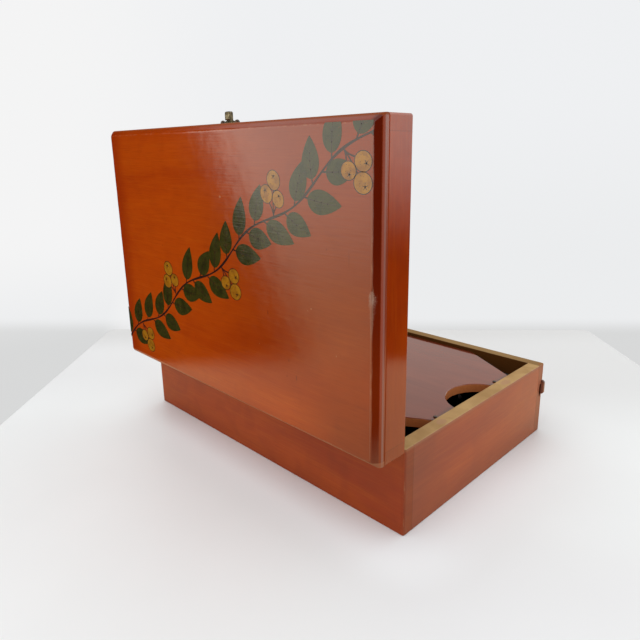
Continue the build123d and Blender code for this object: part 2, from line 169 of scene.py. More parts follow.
class Finish(Nodes):
    """A material built node by node, in millimetres of the piece's own coordinates."""

    def __init__(self, name):
        self.material = bpy.data.materials.new(name)
        self.material.use_nodes = True
        super().__init__(self.material.node_tree)
        self.shader = self.add("BsdfPrincipled")
        self.feed(self.add("OutputMaterial").inputs["Surface"], self.shader.outputs[0])
        self.coordinates = self.add("TexCoord").outputs["Object"]
        parts = self.add("SeparateXYZ")
        self.feed(parts.inputs[0], self.coordinates)
        self.x, self.y, self.z = [Value(self, part) * (1.0 / MM) for part in parts.outputs]
        self.colour = None

    def tint(self, amount, tone):
        """Turn the finish's own colour into the tone by the amount."""
        self.colour = self.mix(amount, self.colour, tone)

    def set(self, **inputs):
        """Set the shader's own sockets, with spaces written as underscores."""
        for name, value in inputs.items():
            self.feed(self.shader.inputs[name.replace("_", " ")], value)

    def done(self, **inputs):
        """Set the last sockets and the finish's own colour, and give its material."""
        self.set(Base_Color=self.colour, **inputs)
        return self.material

    def noise(self, size, detail=2.0, roughness=0.5, warp=0.0, shift=0.0):
        """Noise whose features are about size millimetres across, along each axis."""
        place = self.add("Mapping")
        self.feed(place.inputs["Vector"], self.coordinates)
        place.inputs["Location"].default_value = (shift, shift * 0.7, shift * 1.3)
        place.inputs["Scale"].default_value = tuple(1.0 / MM / s for s in size)
        node = self.add("TexNoise")
        self.feed(node.inputs["Vector"], place.outputs[0])
        node.inputs["Scale"].default_value = 1.0
        node.inputs["Detail"].default_value = detail
        node.inputs["Roughness"].default_value = roughness
        node.inputs["Distortion"].default_value = warp
        return Value(self, node.outputs[0])

    def even_noise(self, size, detail=2.0, roughness=0.5, warp=0.0, shift=0.0):
        """Noise whose features are as large along all three axes."""
        return self.noise((size, size, size), detail, roughness, warp, shift)

    def bump(self, height, depth):
        """A bump whose height runs to depth millimetres."""
        node = self.add("Bump")
        node.inputs["Distance"].default_value = depth * MM
        self.feed(node.inputs["Height"], height)
        return node.outputs[0]

    def relief(self, height, depth):
        """Give the shader's own surface a bump."""
        self.feed(self.shader.inputs["Normal"], self.bump(height, depth))

    def edge_distance(self, low, high):
        """How far a point on a box's surface is from the nearest edge of the box.

        Of the distances to the nearest face along each axis, the smallest is about 0.
        The middle one is the distance to the edge.
        """
        near = []
        for value, a, b in zip((self.x, self.y, self.z), low, high):
            near.append(self.smallest(value - a, b - value))
        x, y, z = near
        return self.largest(self.smallest(x, y), self.smallest(self.largest(x, y), z))


varnish_deep = (0.315, 0.030, 0.0008)
varnish_warm = (0.400, 0.052, 0.0010)
varnish_light = (0.50, 0.098, 0.004)
varnish_old = (0.185, 0.0175, 0.0015)
varnish_shade = (0.120, 0.0115, 0.0012)
chipped_wood = (0.31, 0.185, 0.130)
rubbed_wood_and_sheen = (0.46, 0.235, 0.115)
bare_light = (0.50, 0.325, 0.145)
bare_dark = (0.33, 0.195, 0.082)
bare_inside_shade_and_dirt = (0.105, 0.042, 0.010)
bare_dirt = (0.200, 0.120, 0.050)
joint_line = (0.03, 0.006, 0.002)
joint_grime = (0.05, 0.025, 0.012)
hazy_end_grain = (0.35, 0.112, 0.050)
film_haze = (0.33, 0.22, 0.21)
edge_stain = (0.337, 0.165, 0.076)
corner_stain = (0.33, 0.11, 0.045)
inside_grime = (0.045, 0.017, 0.005)
rubbed_rim = (0.40, 0.225, 0.140)
slot_mouth_shade = (0.105, 0.024, 0.010)
slot_deep_shade = (0.05, 0.013, 0.006)
coat_ior = 1.5
coat_roughness = 0.085


def coat(finish, height, depth):
    """The varnish: a thick glossy film over the colour, whose surface is not quite level."""
    finish.set(Roughness=0.55, Specular_IOR_Level=0.0, Coat_IOR=coat_ior, Coat_Roughness=coat_roughness)
    finish.feed(finish.shader.inputs["Coat Normal"], finish.bump(height, depth))


def grain_sizes(axis, along, across):
    """Noise sizes for a grain that runs along one axis."""
    return tuple(along if axis == n else across for n in range(3))


def varnished(finish, axis, shift=0.0, blotches=0.18, deep_below=0.34):
    """Varnished wood: colour and film height, for grain that runs along one axis.

    The broad noise below deep_below shows the deeper colour, and the warmer one from 0.34 above it.
    """
    broad = finish.noise(grain_sizes(axis, 160.0, 38.0), 3.0, 0.55, 0.6, shift)
    streak = finish.noise(grain_sizes(axis, 42.0, 1.5), 3.0, 0.6, 0.4, shift + 3.0)
    fibre = finish.noise(grain_sizes(axis, 16.0, 0.34), 2.0, 0.6, 0.0, shift + 5.0)
    blotch = finish.even_noise(22.0, 2.0, 0.5, 0.8, shift + 9.0)
    colour = finish.mix(broad.step(deep_below, deep_below + 0.34), varnish_deep, varnish_warm)
    colour = finish.mix(streak.step(0.45, 0.75) * 0.25, colour, varnish_light)
    colour = finish.mix(fibre.step(0.52, 0.3) * 0.34, colour, varnish_old)
    colour = finish.mix(blotch.step(0.48, 0.66) * blotches, colour, varnish_old)
    wave = finish.noise(grain_sizes(axis, 26.0, 0.8), 3.0, 0.65, 0.3, shift + 13.0)
    swell = finish.even_noise(9.0, 1.0, 0.5, 0.0, shift + 17.0)
    height = swell * 1.2 + wave
    return colour, height


def bare_wood(finish, shift=0.0):
    """The bare wood of a rim: tan, with grey-brown dirt and a darker fleck here and there."""
    dirt = finish.even_noise(22.0, 3.0, 0.55, 0.4, shift)
    fleck = finish.even_noise(3.0, 3.0, 0.6, 0.4, shift + 4.0)
    colour = finish.mix(dirt.step(0.7, 0.34) * 0.75, bare_light, bare_dark)
    return finish.mix(fleck.step(0.6, 0.74) * 0.35, colour, bare_dark)


def spot(finish, centre, half):
    """A soft-edged spot: 1 inside an ellipsoid about the centre, 0 outside it."""
    total = 0.0
    for value, middle, reach in zip((finish.x, finish.y, finish.z), centre, half):
        off = (value - middle) / reach
        total = off * off + total
    return total.step(1.0, 0.5)


base_low = (-130.0, -86.1, 0.0)
base_high = (130.0, 86.1, 54.4)
long_joint = 78.1
inside_half_length = 121.5
end_face = (129.2, 129.6)
end_shine = 0.76
end_grain_shift = 40.0
end_blotches = 0.14


def base_board(name, axis, shift, gloss, blotches, corner_darkening, rim_grime, haze, end_gloss=end_shine):
    """A board of the base: bare on the rim and inside, with the inside painted dark as shade and grime,
    worn edges, and its joints' lines on the ends.

    Where its end grain has less gloss than the end boards, the film there is hazy.
    """
    finish = Finish(name)
    finish.colour, height = varnished(finish, axis, shift, blotches)
    # End grain
    ends = abs(finish.x).step(*end_face)
    if end_gloss < end_shine:
        finish.tint(ends, hazy_end_grain)
    elif axis == 0:
        beside_it, _ = varnished(finish, 1, end_grain_shift, end_blotches)
        pores = finish.noise((0.5, 0.5, 0.9), 2.0, 0.7, 0.0, 2.0)
        open_pores = pores.step(0.65, 0.35) * 0.25
        finish.tint(ends, finish.mix(open_pores, beside_it, varnish_shade))
    # Darker towards the back left corner and the bottom, wear and a darker band along the edges, haze,
    # and the joints' lines
    toward_corner = finish.y.step(20.0, 84.0) * finish.x.step(60.0, -120.0)
    low_down = finish.z.step(26.0, 1.0) * 0.3
    corner_darkness = ends * (0.5 - corner_darkening) + corner_darkening
    darkened = finish.largest(toward_corner * corner_darkness, low_down)
    finish.tint(darkened, varnish_shade)
    edge = finish.edge_distance(base_low, base_high)
    rub = finish.even_noise(16.0, 4.0, 0.7, 0.0, shift + 2.0)
    worn = edge.step(0.9, 0.4) * rub.step(0.52, 0.7)
    finish.tint(worn * 0.4, rubbed_wood_and_sheen)
    shade = edge.step(3.2, 0.8) * 0.25
    finish.tint(shade, varnish_old)
    finish.tint(haze, film_haze)
    under_rim = finish.z.step(51.8, 54.2) * 0.45
    finish.tint(under_rim, edge_stain)
    from_joint = abs(abs(finish.y) - long_joint)
    line = from_joint.step(0.28, 0.08) * ends
    finish.tint(line * 0.35, joint_line)
    # Bare wood inside, painted dark as shade and grime, and bare wood on the rim
    between_ends = abs(finish.x).step(inside_half_length + 0.3, inside_half_length)
    between_sides = abs(finish.y).step(long_joint + 0.3, long_joint + 0.05)
    inside = finish.smallest(between_ends, between_sides)
    grimy = finish.even_noise(18.0, 3.0, 0.6, 0.5, shift + 6.0)
    inner = finish.mix(grimy * 0.5, bare_inside_shade_and_dirt, inside_grime)
    finish.tint(inside, inner)
    rim = finish.z.step(54.0, 54.3)
    top = finish.mix(rim_grime, bare_wood(finish, shift), bare_dirt)
    top = finish.mix(line * 0.5, top, joint_grime)
    for middle, half in ((45.3, 4.5), (-33.7, 6.0)):
        rubbed = spot(finish, (-126.0, middle, base_high[2]), (3.0, half, 1.0))
        top = finish.mix(rubbed * 0.6, top, rubbed_rim)
    at_corner = spot(finish, (-130.0, -85.0, base_high[2]), (4.0, 7.0, 1.0))
    top = finish.mix(at_corner * 0.35, top, corner_stain)
    finish.tint(rim, top)
    # Slot beside the finger tab, painted dark inside as shade, darkest deep in
    in_slot = spot(finish, (-128.5, -82.5, 33.8), (3.6, 2.6, 5.9))
    deep_in = in_slot * finish.x.step(-129.9, -129.6)
    finish.tint(in_slot * 0.9, slot_mouth_shade)
    finish.tint(deep_in, slot_deep_shade)
    bare = finish.largest(rim, inside, in_slot)
    coat(finish, height, 0.045)
    shine = ends * (end_gloss - gloss) + gloss
    return finish.done(Coat_Weight=(1.0 - bare) * shine)


def dress(material, *nodes):
    """Give CAD nodes one material in place of their own."""
    for name in nodes:
        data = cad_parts[name].data
        data.materials.clear()
        data.materials.append(material)


front_varnish = base_board("base_front_varnish", axis=0, shift=0.0, gloss=0.78, blotches=0.14,
                           corner_darkening=0.50, rim_grime=0.70, haze=0.10, end_gloss=0.30)
back_varnish = base_board("base_back_varnish", axis=0, shift=20.0, gloss=0.50, blotches=0.20,
                          corner_darkening=0.24, rim_grime=0.20, haze=0.05)
end_varnish = base_board("base_end_varnish", axis=1, shift=end_grain_shift, gloss=end_shine,
                         blotches=end_blotches, corner_darkening=0.50, rim_grime=0.05, haze=0.12)
dress(front_varnish, "base_front")
dress(back_varnish, "base_back")
dress(end_varnish, "base_left_end", "base_right_end")


# Bottom board and liners: thin bare boards that nobody sees, left as they came from the plane.
# The bottom sits in a rabbet; the liners are glued to the ends and carry the cover board and the tray.
def plain_board(name, axis):
    """Bare wood with a grain along one axis."""
    finish = Finish(name)
    streak = finish.noise(grain_sizes(axis, 60.0, 1.8), 4.0, 0.6, 0.5)
    finish.colour = finish.mix(streak.step(0.35, 0.7), bare_dark, bare_light)
    finish.tint(finish.even_noise(30.0, 3.0) * 0.5, bare_dark)
    finish.relief(streak, 0.06)
    return finish.done(Roughness=0.75, Specular_IOR_Level=0.3)


dress(plain_board("bottom_wood", 0), "base_bottom")
dress(plain_board("liner_wood", 1), "left_liner", "right_liner")


# Finger tab: a small hardwood key with a rounded outer edge, varnished dark.
# It is let into the end grain of the front board, beside a narrow slot.
tab_dark = (0.20, 0.070, 0.040)
tab_light = (0.28, 0.100, 0.060)
tab_shade_by_slot = (0.07, 0.018, 0.008)
tab_upper_end = (0.055, 0.020, 0.014)


def tab_finish():
    """Dark varnished hardwood, paler where fingers rub its rounded edge, with painted shade on its side
    inside the slot.
    """
    finish = Finish("tab_varnish")
    streak = finish.noise((0.6, 3.0, 6.0), 3.0, 0.6)
    finish.colour = finish.mix(streak.step(0.35, 0.7), tab_dark, tab_light)
    rubbed = finish.x.step(-131.4, -132.1)
    finish.tint(rubbed * 0.2, rubbed_wood_and_sheen)
    # Painted shade on the tab's side inside the slot
    by_slot = finish.smallest(finish.y.step(-83.75, -83.5), finish.x.step(-130.5, -130.1))
    finish.tint(by_slot * 0.92, tab_shade_by_slot)
    upper_end = finish.z.step(38.6, 40.6) * 0.6
    finish.tint(upper_end, tab_upper_end)
    coat(finish, streak, 0.03)
    return finish.done(Coat_Weight=0.5)


dress(tab_finish(), "side_tab")


# Hinges and catch: thin brass, tarnished brown, with brass pins and steel screws gone dark.
# The leaves lie in the two rims, and the catch plate with its ball stud is on the base's front.
brass_yellow = (0.50, 0.34, 0.13)
brass_brown = (0.17, 0.10, 0.04)
steel_dark = (0.055, 0.05, 0.045)
steel_rust = (0.10, 0.045, 0.02)


def brass_finish(name, bright, dull, tarnish_low, tarnish_high):
    """Brass with tarnish in patches: the dull places are browner and rougher."""
    finish = Finish(name)
    patch = finish.even_noise(3.5, 4.0, 0.65, 0.6)
    fine = finish.even_noise(0.5, 2.0, 0.5)
    tarnish = patch.step(tarnish_low, tarnish_high)
    finish.colour = finish.mix(tarnish, bright, dull)
    finish.relief(fine, 0.02)
    return finish.done(Metallic=1.0, Roughness=tarnish * 0.28 + 0.24)


def steel_finish(name):
    """Steel gone nearly black, with a little rust in places."""
    finish = Finish(name)
    patch = finish.even_noise(1.2, 3.0, 0.6)
    finish.colour = finish.mix(patch.step(0.45, 0.7), steel_dark, steel_rust)
    return finish.done(Metallic=0.8, Roughness=patch * 0.3 + 0.25)


hinge_brass = brass_finish("hinge_brass", brass_yellow, brass_brown, 0.40, 0.68)
dark_steel = steel_finish("dark_steel")
dress(hinge_brass, "base_hinge_leaf_left", "base_hinge_leaf_right", "hinge_pins", "lid_hinge_leaf_left",
      "lid_hinge_leaf_right", "catch_plate")
dress(dark_steel, "base_hinge_screws", "lid_hinge_screws", "catch_screws")

# Lid frame: four strips jointed like the base, so the front and back strips show their end grain.
# With the lid open its bare rim faces the front of the box.
lid_low = (-130.0, 86.5, 52.0)
lid_high = (130.0, 111.1, 227.0)
lid_board_back = 104.1
lid_joints = (219.0, 60.0)


def lid_strip(name, axis, shift):
    """A strip of the lid's frame, with the lines of its joints on the ends."""
    finish = Finish(name)
    finish.colour, height = varnished(finish, axis, shift)
    ends = abs(finish.x).step(*end_face)
    if axis == 0:
        beside_it, _ = varnished(finish, 2, 100.0)
        pores = finish.noise((0.5, 0.9, 0.5), 2.0, 0.7, 0.0, 7.0)
        open_pores = pores.step(0.65, 0.35) * 0.2
        finish.tint(ends, finish.mix(open_pores, beside_it, varnish_old))
    edge = finish.edge_distance(lid_low, lid_high)
    rub = finish.even_noise(16.0, 4.0, 0.7, 0.0, shift + 2.0)
    worn = edge.step(1.2, 0.4) * rub.step(0.48, 0.66)
    finish.tint(worn * 0.35, rubbed_wood_and_sheen)
    foot = finish.z.step(125.0, 58.0) * 0.3
    finish.tint(foot, varnish_shade)
    finish.tint(0.26, varnish_shade)
    upper, lower = [abs(finish.z - joint) for joint in lid_joints]
    board = abs(finish.y - lid_board_back)
    line = finish.smallest(upper, lower, board).step(0.26, 0.06)
    finish.tint(line * ends * 0.35, joint_line)
    rim = finish.y.step(86.9, 86.6)
    finish.tint(rim, bare_wood(finish, shift))
    coat(finish, height, 0.035)
    groove = 1.0 - board.step(0.6, 0.3) * 0.9
    return finish.done(Coat_Weight=(1.0 - rim) * groove)


dress(lid_strip("lid_front_varnish", 0, 60.0), "lid_front")
dress(lid_strip("lid_back_varnish", 0, 80.0), "lid_back")
dress(lid_strip("lid_end_varnish", 2, 100.0), "lid_left_end", "lid_right_end")


# Lid board: a flat board glued on the frame, with a bevel planed all round its outside.
# Its edges are rubbed soft, and the edge of the left bevel has lost small chips.
face_level = 111.06
bevel_width = 3.6
bevel_depth = 4.0
board_corner = 1.0
face_corner = 1.4
side_steps = 150
corner_steps = 7
# Chips along the left bevel's inner edge: height up the lid, length, depth
chips = np.array([
    [146.2, 1.4, 0.26],
    [142.8, 2.0, 0.34],
    [137.0, 3.4, 0.14],
    [129.5, 4.2, 0.08],
])

edge_red = (0.26, 0.020, 0.0006)
side_haze = (0.28, 0.160, 0.135)
bevel_dark_reflection = (0.075, 0.0035, 0.0006)
face_grime = (0.23, 0.14, 0.085)
top_edge_dark_reflection = (0.21, 0.050, 0.009)
bottom_edge_table_reflection = (0.36, 0.16, 0.08)
# Small marks on the face: across, up the lid, half their width and height, strength
dark_marks = [
    (-49.0, 121.0, 0.5, 1.6, 0.7), (-66.0, 96.0, 0.5, 1.3, 0.6), (-72.0, 87.0, 0.45, 2.2, 0.7),
    (-64.0, 86.0, 0.5, 0.9, 0.5), (-97.0, 163.0, 0.5, 0.8, 0.5), (-21.0, 172.0, 0.6, 1.1, 0.4),
    (-112.0, 160.0, 0.35, 5.5, 0.5), (64.0, 148.0, 0.7, 0.7, 0.5), (30.0, 88.0, 0.6, 0.9, 0.4),
]
pale_marks = [
    (-8.4, 185.0, 1.1, 0.8, 0.5), (-85.0, 130.0, 0.5, 0.5, 0.6), (-82.5, 128.5, 0.3, 0.3, 0.6),
    (-40.0, 100.0, 0.35, 0.35, 0.5), (-103.0, 108.0, 0.3, 0.6, 0.4), (52.0, 100.0, 0.4, 0.4, 0.4),
]


def rounded(points, cuts, steps=6):
    """A polyline with its inner corners rounded.

    Each corner P becomes the parabola (1-t)^2 A + 2t(1-t) P + t^2 B, where A and B lie on the lines
    to the neighbours, at the distance cut from P.
    """
    points = np.asarray(points, float)
    t = np.linspace(0.0, 1.0, steps)[:, None]
    pieces = [points[:1]]
    for before, corner, after, cut in zip(points, points[1:], points[2:], cuts):
        a = corner + cut * (before - corner) / np.linalg.norm(before - corner)
        b = corner + cut * (after - corner) / np.linalg.norm(after - corner)
        pieces.append((1 - t) ** 2 * a + 2 * t * (1 - t) * corner + t**2 * b)
    pieces.append(points[-1:])
    return np.concatenate(pieces)


def rounded_rectangle(half_x, half_z, radius, along, around):
    """Points round a rectangle with rounded corners, starting at the +x side, anticlockwise.

    Each corner is a quarter circle about a point one radius in from both sides, and the sides between
    are divided evenly.
    """
    angle = np.linspace(0.0, np.pi / 2, around)
    rows = []
    for quarter, (sx, sz) in enumerate(((1, 1), (-1, 1), (-1, -1), (1, -1))):
        turn = angle + quarter * np.pi / 2
        centre = np.array([sx * (half_x - radius), sz * (half_z - radius)])
        rows.append(centre + radius * np.stack([np.cos(turn), np.sin(turn)], axis=1))
    outline = []
    t = np.linspace(0.0, 1.0, along + 1)[1:-1, None]
    for row, following in zip(rows, rows[1:] + rows[:1]):
        outline += [row, row[-1] * (1 - t) + following[0] * t]
    return np.concatenate(outline)


def mesh_object(name, points, faces, material, smooth=True):
    """An object from points in millimetres and lists of faces."""
    data = bpy.data.meshes.new(name)
    data.from_pydata((np.asarray(points) * MM).tolist(), [], [list(map(int, face)) for face in faces])
    data.validate()
    data.materials.append(material)
    data.polygons.foreach_set("use_smooth", [smooth and len(p.vertices) < 5 for p in data.polygons])
    data.update()
    thing = bpy.data.objects.new(name, data)
    bpy.context.scene.collection.objects.link(thing)
    return thing


def ring_faces(rings, count):
    """Quads between neighbouring closed rings of count points each."""
    ring, point = np.meshgrid(np.arange(rings - 1), np.arange(count), indexing="ij")
    following = (point + 1) % count
    a = ring * count + point
    b = ring * count + following
    return np.stack([a, b, b + count, a + count], axis=-1).reshape(-1, 4)


def lid_board_surface():
    """The board's outside: its profile, from back edge over side and bevel to the face, run round.

    At each point of the profile the outline is a rounded rectangle inset by the profile's inset, and its
    corner radius grows from the side to the face. A chip lowers the edge by depth times a bell curve up
    the lid and a bell curve across the edge.
    """
    half_x = (lid_high[0] - lid_low[0]) / 2
    half_z = (lid_high[2] - lid_low[2]) / 2
    centre_z = (lid_high[2] + lid_low[2]) / 2
    side_top = face_level - bevel_depth
    corners = [(0.0, lid_board_back), (0.0, side_top), (bevel_width, face_level), (12.0, face_level)]
    profile = rounded(corners, (1.90, 1.20), 8)
    inner = [(inset, face_level) for inset in (5.1, 6.5, 20.0, 40.0, 60.0, 80.0)]
    profile = np.concatenate([profile[:1], [(0.0, side_top - 2.1)], profile[1:-1], inner])
    rows = []
    for inset, level in profile:
        grown = np.clip(inset / bevel_width, 0.0, 1.0)
        radius = board_corner + (face_corner - board_corner) * grown
        flat = rounded_rectangle(half_x - inset, half_z - inset, radius, side_steps, corner_steps)
        z = flat[:, 1] + centre_z
        across = np.exp(-(((inset - bevel_width) / 0.55) ** 2)) * (flat[:, 0] < 0)
        up_lid = np.exp(-(((z[:, None] - chips[:, 0]) / chips[:, 1]) ** 2)) @ chips[:, 2]
        rubbed = 0.05 * (1 + np.sin(z * 0.37) * np.sin(z * 0.11 + flat[:, 0] * 0.23))
        at_edge = np.exp(-(((inset - bevel_width) / 0.5) ** 2))
        rows.append(np.stack([flat[:, 0], level - across * up_lid - rubbed * at_edge, z], axis=1))
    count = len(rows[0])
    faces = [tuple(face[::-1]) for face in ring_faces(len(rows), count)]
    faces.append(tuple(range(count)))
    last = (len(rows) - 1) * count
    faces.append(tuple(range(last + count - 1, last - 1, -1)))
    return np.concatenate(rows), faces


def lid_face_finish():
    """The lid's varnish: darker towards the edges, painted darker towards the left as shade, a pale line
    along the bevel that is partly rubbed and partly a painted highlight, small scuffs.
    """
    finish = Finish("lid_board_varnish")
    finish.colour, height = varnished(finish, 0, shift=120.0, blotches=0.10, deep_below=0.20)
    from_side = lid_high[0] - abs(finish.x)
    from_ends = finish.smallest(finish.z - lid_low[2], lid_high[2] - finish.z)
    inset = finish.smallest(from_side, from_ends)
    # Darker towards the right edge, all edges and the low left corner, and painted shade over the left
    # half, where the light on the lid falls off
    dark = from_side.step(25.0, 4.0) * finish.x.step(-20.0, 60.0)
    finish.tint(dark * 0.8, edge_red)
    finish.tint(inset.step(12.0, 2.0) * 0.4, varnish_deep)
    # Painted shade: the left half darker, where the light on the lid falls off
    off_foot = finish.largest(finish.z.step(55.0, 105.0), finish.x.step(-55.0, -105.0))
    up_lid = finish.z.step(95.0, 150.0) * 0.16 + 0.4
    darkened = finish.x.step(50.0, -85.0) * off_foot * up_lid
    finish.tint(darkened, varnish_shade)
    low_corner = finish.x.step(-85.0, -120.0) * finish.z.step(95.0, 62.0)
    finish.tint(low_corner * 0.35, varnish_shade)
    # Hazy sides, bevels painted dark as a dark reflection, most of all the left one, and the pale line
    # and grime beside them
    below_bevel = finish.smallest(finish.y.step(108.8, 107.8), finish.y.step(104.9, 106.0))
    at_side = finish.smallest(from_side.step(0.3, 0.1), below_bevel)
    finish.tint(at_side * 0.52, side_haze)
    # Painted dark reflection on the bevels, strongest on the left bevel
    on_bevel = finish.smallest(finish.y.step(110.95, 110.6), finish.y.step(107.5, 108.3))
    at_left = finish.x.step(-124.0, -127.0)
    left_dark = 0.74 - finish.z.step(190.0, 90.0) * 0.3
    bevel_dark = on_bevel * (at_left * left_dark + 0.12)
    finish.tint(bevel_dark, bevel_dark_reflection)
    # Pale line along the bevel's inner edge: partly rubbed wear, partly a painted highlight
    rub = finish.noise((4.0, 4.0, 9.0), 4.0, 0.7, 0.0, 1.0)
    from_edge = abs(inset - bevel_width - 0.3)
    line = from_edge.step(0.55, 0.1) * rub.step(0.46, 0.7)
    finish.tint(line * 0.3, rubbed_wood_and_sheen)
    grime = finish.x.step(-125.3, -126.0) * finish.y.step(110.9, 111.0)
    finish.tint(grime * 0.35, face_grime)
    # Ragged patch of bare wood along the left bevel
    crumb = finish.noise((0.7, 0.7, 1.0), 4.0, 0.75, 0.6, 61.0)
    reach = finish.z.step(122.0, 145.0) * 1.5 + 0.45
    across = from_edge / reach
    worn_from = finish.z.step(143.0, 149.0) * 1.3 + across
    ragged = (crumb * 2.8 + worn_from).step(2.45, 1.8)
    up_and_down = finish.smallest(finish.z.step(149.5, 147.5), finish.z.step(119.0, 127.0))
    along = finish.smallest(up_and_down, finish.x.step(-100.0, -110.0))
    amount = finish.z.step(137.0, 143.5) * 0.4 + 0.22
    chipped = ragged * along * amount
    finish.tint(chipped, chipped_wood)
    # Small marks on the face, and painted reflections on the top and bottom edges, which keep less of the
    # coat
    on_face = finish.y.step(109.0, 110.5)
    for tone, marks in ((varnish_shade, dark_marks), (rubbed_wood_and_sheen, pale_marks)):
        for x, z, half_x, half_z, strength in marks:
            off_x = (finish.x - x) / half_x
            off_z = (finish.z - z) / half_z
            off = off_x * off_x + off_z * off_z
            mark = finish.smallest(off.step(1.0, 0.3), on_face)
            finish.tint(mark * strength, tone)
    # Painted reflections: dark brown on the top edge, pale tan from the table on the bottom edge
    top_edge = finish.z.step(225.2, 226.4)
    finish.tint(top_edge * 0.75, top_edge_dark_reflection)
    bottom_edge = finish.z.step(56.0, 55.2)
    finish.tint(bottom_edge * 0.55, bottom_edge_table_reflection)
    groove = finish.y.step(104.7, 104.4)
    dull = finish.largest(top_edge * 0.85, bottom_edge * 0.85, groove * 0.9, at_side * 0.08)
    coat(finish, height, 0.045)
    return finish.done(Coat_Weight=1.0 - dull)


board_points, board_faces = lid_board_surface()
lid_board = mesh_object("lid_board", board_points, board_faces, lid_face_finish())
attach(lid_board, "lid")
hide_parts("lid_top")


# Painted band: a plain garland under the varnish, laid slantwise across the lid from corner to corner.
# Single pointed leaves stand in turn on both sides of a gently waving stem, with round berries in threes.
# Each colour lies a hair above the one painted before it.
paint_level = face_level + 0.028
band_start = np.array([128.0, 66.0])
band_end = np.array([-127.0, 219.0])
band_length = float(np.linalg.norm(band_end - band_start))
band_along = (band_end - band_start) / band_length
band_across = np.array([-band_along[1], band_along[0]])
if band_across[1] < 0:
    band_across = -band_across
wave_count = 3.5
wave_height = 3.4
face_room = np.array([[-126.7, 55.3], [126.7, 223.7]])
leaf_spacing = 8.9
leaf_length = 22.0
leaf_width = 12.6
leaf_angle = math.radians(51.0)
leaf_bow = 2.4
berry_every = 7


def on_lid(along, across):
    """Points of the band, from distances along and across it, cut off at the edge of the lid's face."""
    along, across = np.asarray(along)[..., None], np.asarray(across)[..., None]
    flat = np.clip(band_start + along * band_along + across * band_across, face_room[0], face_room[1])
    return np.stack([flat[..., 0], np.full(flat.shape[:-1], paint_level), flat[..., 1]], axis=-1)


def stem_across(along):
    """The stem waves about the middle of the band as a sine curve."""
    return wave_height * np.sin(2 * np.pi * wave_count * along / band_length)


def stem_slope(along):
    """The angle of the stem to the band."""
    turns = 2 * np.pi * wave_count / band_length
    return np.arctan(wave_height * turns * np.cos(turns * along))


def turned(start, heading, forward, sideways):
    """Points that lie forward and sideways of a start, for something that points along the heading."""
    return (start[0] + forward * math.cos(heading) - sideways * math.sin(heading),
            start[1] + forward * math.sin(heading) + sideways * math.cos(heading))


def strip(along, across, width):
    """A band of the given width along a flat line: each point moved half the width to either side."""
    heading = np.arctan2(np.gradient(across), np.gradient(along))
    side = np.stack([-np.sin(heading), np.cos(heading)], axis=1) * (np.asarray(width) / 2).reshape(-1, 1)
    middle = np.stack([along, across], axis=1)
    edges = np.stack([middle - side, middle + side], axis=1)
    return edges[..., 0], edges[..., 1]


def leaf_half(u):
    """Half the width of a leaf at the share u of its length: sin(pi u^0.72)^0.85, wide near the stalk."""
    return leaf_width / 2 * np.sin(np.pi * np.clip(u, 0.0, 1.0) ** 0.72).clip(0.0) ** 0.85


def leaf(start, heading, length, bend):
    """A pointed leaf whose middle bends sideways by a square law."""
    u, v = np.meshgrid(np.linspace(0.0, 1.0, 18), np.linspace(-1.0, 1.0, 7), indexing="ij")
    return turned(start, heading, u * length, v * leaf_half(u) + bend * u**2)


def leaf_veins(start, heading, length, bend):
    """A middle rib that thins to the tip, and three pairs of side veins, about 45 degrees off it."""
    u = np.linspace(0.02, 0.93, 24)
    veins = [strip(*turned(start, heading, u * length, bend * u**2), 0.55 * (1.1 - u))]
    for share in (0.22, 0.42, 0.6):
        for hand in (-1, 1):
            w = np.linspace(0.0, 1.0, 10)
            half = float(leaf_half(share))
            forward = share * length + w * half * 0.75
            sideways = bend * (forward / length) ** 2 + hand * w * half * 0.82
            veins.append(strip(*turned(start, heading, forward, sideways), 0.26 * (1.2 - w)))
    return veins


def disc(centre, radius, inner=0.0, squash=0.0, phase=0.0):
    """A disc or a ring, its radius growing and shrinking twice round by the share squash."""
    shares, angles = np.linspace(inner, 1.0, 4), np.linspace(0.0, 2 * np.pi, 25)
    share, angle = np.meshgrid(shares, angles, indexing="ij")
    r = radius * share * (1 + squash * np.cos(2 * (angle - phase)))
    return centre[0] + r * np.cos(angle), centre[1] + r * np.sin(angle)


def berry_star(centre, radius, heading):
    """The dried flower on a berry's far side: five short strokes from one point."""
    middle = turned(centre, heading, 0.42 * radius, 0.0)
    strokes = []
    for k in range(5):
        w = np.linspace(0.0, 1.0, 5)
        reach = w * 0.36 * radius
        stroke = turned(middle, heading + k * 2 * math.pi / 5, reach, 0.0 * w)
        strokes.append(strip(*stroke, 0.42 * (1.3 - w)))
    return strokes


def grid_faces(rows, columns, offset):
    """Quads of a grid whose first point has the number offset."""
    row, column = np.meshgrid(np.arange(rows - 1), np.arange(columns - 1), indexing="ij")
    a = offset + row * columns + column
    return np.stack([a, a + 1, a + columns + 1, a + columns], axis=-1).reshape(-1, 4)


def painted(name, sheets, material):
    """One painted colour of the band, from pairs of a lift and a grid, as thin flat shapes on the lid."""
    points, faces, offset = [], [], 0
    for lift, (along, across) in sheets:
        sheet = on_lid(along, across)
        sheet[..., 1] += lift
        rows, columns = sheet.shape[:2]
        quads = grid_faces(rows, columns, offset)
        flat = sheet.reshape(-1, 3)
        corners = flat[quads - offset][..., [0, 2]]
        first, second = corners[:, 2] - corners[:, 0], corners[:, 3] - corners[:, 1]
        area = first[:, 0] * second[:, 1] - first[:, 1] * second[:, 0]
        quads = quads[np.abs(area) > 1e-5]
        if area.sum() > 0:
            quads = quads[:, ::-1]
        points.append(flat)
        faces.append(quads)
        offset += rows * columns
    thing = mesh_object(name, np.concatenate(points), np.concatenate(faces), material, smooth=False)
    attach(thing, "lid")
    return thing


